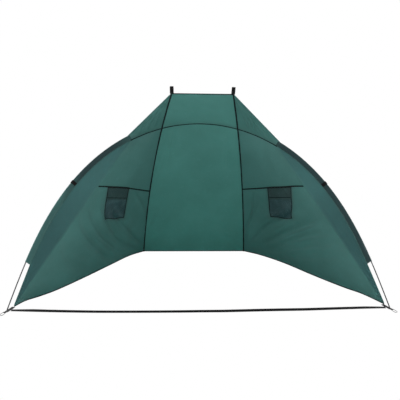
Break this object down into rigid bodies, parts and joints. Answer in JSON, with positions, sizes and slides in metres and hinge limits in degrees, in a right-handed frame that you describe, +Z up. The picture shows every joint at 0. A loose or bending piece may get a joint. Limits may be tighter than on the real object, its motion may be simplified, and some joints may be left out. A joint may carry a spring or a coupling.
{
  "type": "beach windbreak shelter",
  "caption": "Open-fronted green beach windbreak with an arch pole, leaning uprights, a short hood, side wings with small windows and a front ground strap",
  "frame": {"origin": "on the ground, under the middle of the bounding box", "axes": "+X to the right seen from the open front, +Y to the back, +Z up"},
  "size_m": [2.7694, 1.2714, 1.5151],
  "materials": {
    "shell_cloth": "coated plain weave, slight sheen",
    "binding": "dark bound seam",
    "webbing": "woven tape",
    "window_mesh": "fine mesh",
    "pole": "satin glass-fibre rod",
    "black_plastic": "matte",
    "steel": "dull zinc"
  },
  "bodies": {
    "root": {"arch_pole": "pole", "arch_sleeve": "shell_cloth", "back_hem": "binding", "back_panel": "shell_cloth", "centre_arch_seam": "binding", "front_ground_strap": "webbing", "hood_panel": "shell_cloth", "left_arch_seam": "binding", "left_arch_tab": "webbing", "left_back_foot": "black_plastic", "left_corner_eyelet": "steel", "left_corner_tab": "webbing", "left_front_hem": "binding", "left_gusset_hem": "binding", "left_hood_gusset": "shell_cloth", "left_peg_ring": "steel", "left_tip_pocket": "webbing", "left_upright_pole": "pole", "left_upright_sleeve": "binding", "left_window_film": "window_mesh", "left_window_flap": "shell_cloth", "left_window_seam": "binding", "left_wing": "shell_cloth", "left_wing_hem": "binding", "right_arch_seam": "binding", "right_arch_tab": "webbing", "right_back_foot": "black_plastic", "right_corner_eyelet": "steel", "right_corner_tab": "webbing", "right_front_hem": "binding", "right_gusset_hem": "binding", "right_hood_gusset": "shell_cloth", "right_peg_ring": "steel", "right_tip_pocket": "webbing", "right_upright_pole": "pole", "right_upright_sleeve": "binding", "right_window_film": "window_mesh", "right_window_flap": "shell_cloth", "right_window_seam": "binding", "right_wing": "shell_cloth", "right_wing_hem": "binding", "top_hem": "binding"}
  },
  "joints": []
}
